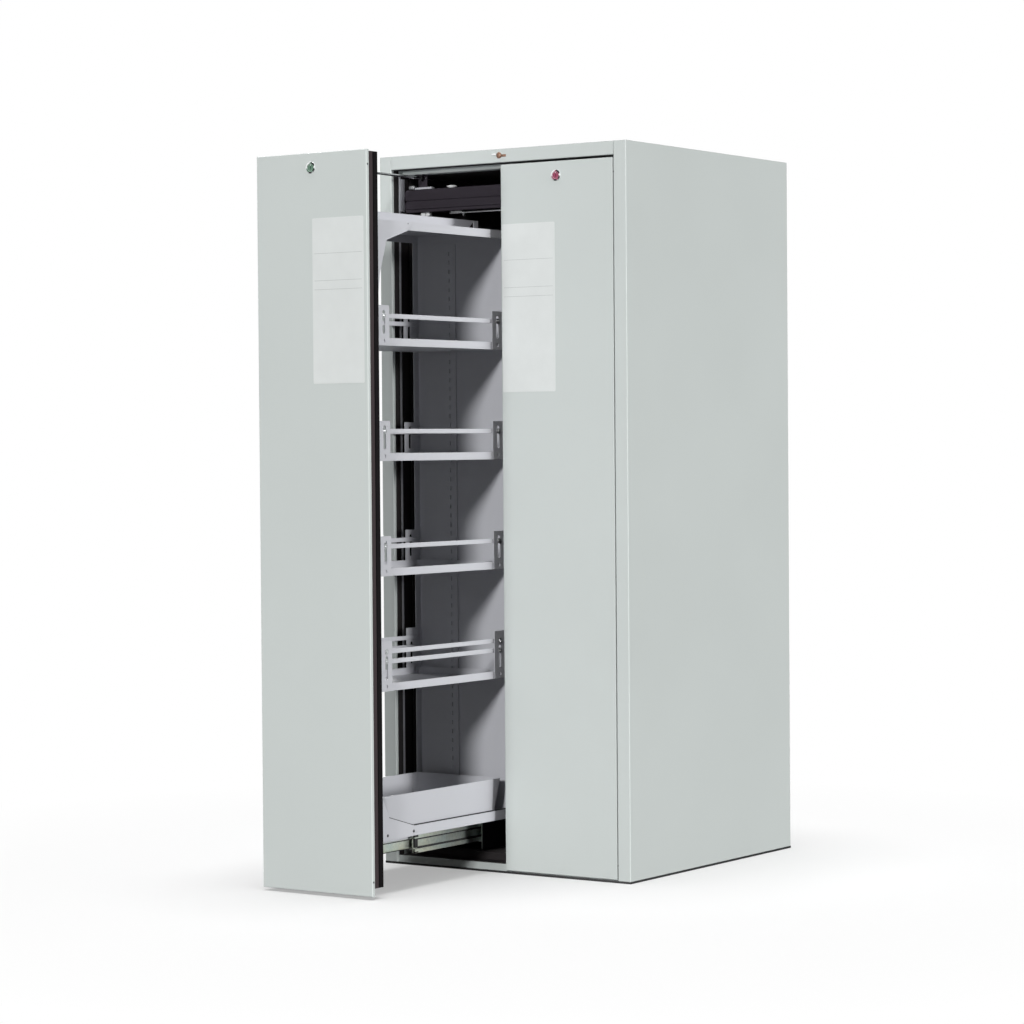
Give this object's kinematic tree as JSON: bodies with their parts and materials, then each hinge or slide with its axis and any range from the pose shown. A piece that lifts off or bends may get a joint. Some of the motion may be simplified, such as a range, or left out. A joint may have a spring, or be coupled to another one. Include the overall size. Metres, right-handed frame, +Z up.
{
  "type": "fire-resistant storage cabinet",
  "caption": "Tall double-walled safety cabinet whose doors draw out as full-height pull-outs with shelves, guard rails and a sump tray for bottles.",
  "frame": {"origin": "on the floor, under the middle of the carcass footprint", "axes": "+Z up, +Y from the doors to the back, +X to the right seen from the front"},
  "size_m": [0.81, 1.452, 2.006],
  "materials": {
    "cabinet_paint": "satin",
    "frame_paint": "satin",
    "fire_board": "matte",
    "lining_board": "matte",
    "swelling_seal": "matte",
    "edge_seal": "matte",
    "zinc_steel": "satin",
    "rod_steel": "polished",
    "lock_chrome": "polished",
    "closer_paint": "satin",
    "foot_steel": "satin"
  },
  "bodies": {
    "carcass": {"side_panel_left": "cabinet_paint", "side_panel_right": "cabinet_paint", "back_panel": "cabinet_paint", "roof_panel": "cabinet_paint", "base_pan": "cabinet_paint", "top_fascia": "cabinet_paint", "fire_boards": "fire_board", "wall_linings": "lining_board", "floor_lining": "lining_board", "frame_seals": "swelling_seal", "exhaust_spigot": "zinc_steel", "levelling_feet": "foot_steel", "closer_housings": "closer_paint", "guide_brackets": "closer_paint", "slide_consoles": "zinc_steel", "slide_outer_rails": "zinc_steel"},
    "left_pullout": {"left_door_skin": "cabinet_paint", "left_door_core": "fire_board", "left_door_edge_seal": "edge_seal", "left_door_back_sheet": "frame_paint", "left_lock_housing": "lock_chrome", "left_guide_rod": "rod_steel", "left_front_upright": "frame_paint", "left_rear_panel": "frame_paint", "left_slotted_strip": "frame_paint", "left_head_tray": "frame_paint", "left_head_channel": "zinc_steel", "left_bottom_carrier": "frame_paint", "left_shelf_brackets": "frame_paint", "left_guard_rails": "frame_paint", "left_sump_tray": "frame_paint", "left_inner_rails": "zinc_steel", "left_shelf_1": "frame_paint", "left_shelf_2": "frame_paint", "left_shelf_3": "frame_paint", "left_shelf_4": "frame_paint"},
    "left_middle_rails": {"left_middle_rails": "zinc_steel"},
    "left_lock": {"left_lock_cylinder": "lock_chrome"},
    "right_pullout": {"right_door_skin": "cabinet_paint", "right_door_core": "fire_board", "right_door_edge_seal": "edge_seal", "right_door_back_sheet": "frame_paint", "right_lock_housing": "lock_chrome", "right_guide_rod": "rod_steel", "right_front_upright": "frame_paint", "right_rear_panel": "frame_paint", "right_slotted_strip": "frame_paint", "right_head_tray": "frame_paint", "right_head_channel": "zinc_steel", "right_bottom_carrier": "frame_paint", "right_shelf_brackets": "frame_paint", "right_guard_rails": "frame_paint", "right_sump_tray": "frame_paint", "right_inner_rails": "zinc_steel", "right_shelf_1": "frame_paint", "right_shelf_2": "frame_paint", "right_shelf_3": "frame_paint", "right_shelf_4": "frame_paint"},
    "right_middle_rails": {"right_middle_rails": "zinc_steel"},
    "right_lock": {"right_lock_cylinder": "lock_chrome"}
  },
  "joints": [
    {"name": "left_pullout_slide", "type": "slide", "parent": "carcass", "child": "left_pullout", "axis": [0, -1, 0], "range_m": [-0.59, 0.03]},
    {"name": "left_middle_slide", "type": "slide", "parent": "carcass", "child": "left_middle_rails", "axis": [0, -1, 0], "range_m": [-0.295, 0.015]},
    {"name": "left_lock_turn", "type": "hinge", "parent": "left_pullout", "child": "left_lock", "pos_m": [-0.1835, -1.022, 1.885], "axis": [0, 1, 0], "range_deg": [0, 90]},
    {"name": "right_pullout_slide", "type": "slide", "parent": "carcass", "child": "right_pullout", "axis": [0, -1, 0], "range_m": [0, 0.62]},
    {"name": "right_middle_slide", "type": "slide", "parent": "carcass", "child": "right_middle_rails", "axis": [0, -1, 0], "range_m": [0, 0.31]},
    {"name": "right_lock_turn", "type": "hinge", "parent": "right_pullout", "child": "right_lock", "pos_m": [0.1835, -0.432, 1.885], "axis": [0, 1, 0], "range_deg": [0, 90]}
  ],
  "couplings": [
    {"joint": "left_middle_slide", "follows": "left_pullout_slide", "ratio": 0.5},
    {"joint": "right_middle_slide", "follows": "right_pullout_slide", "ratio": 0.5}
  ]
}
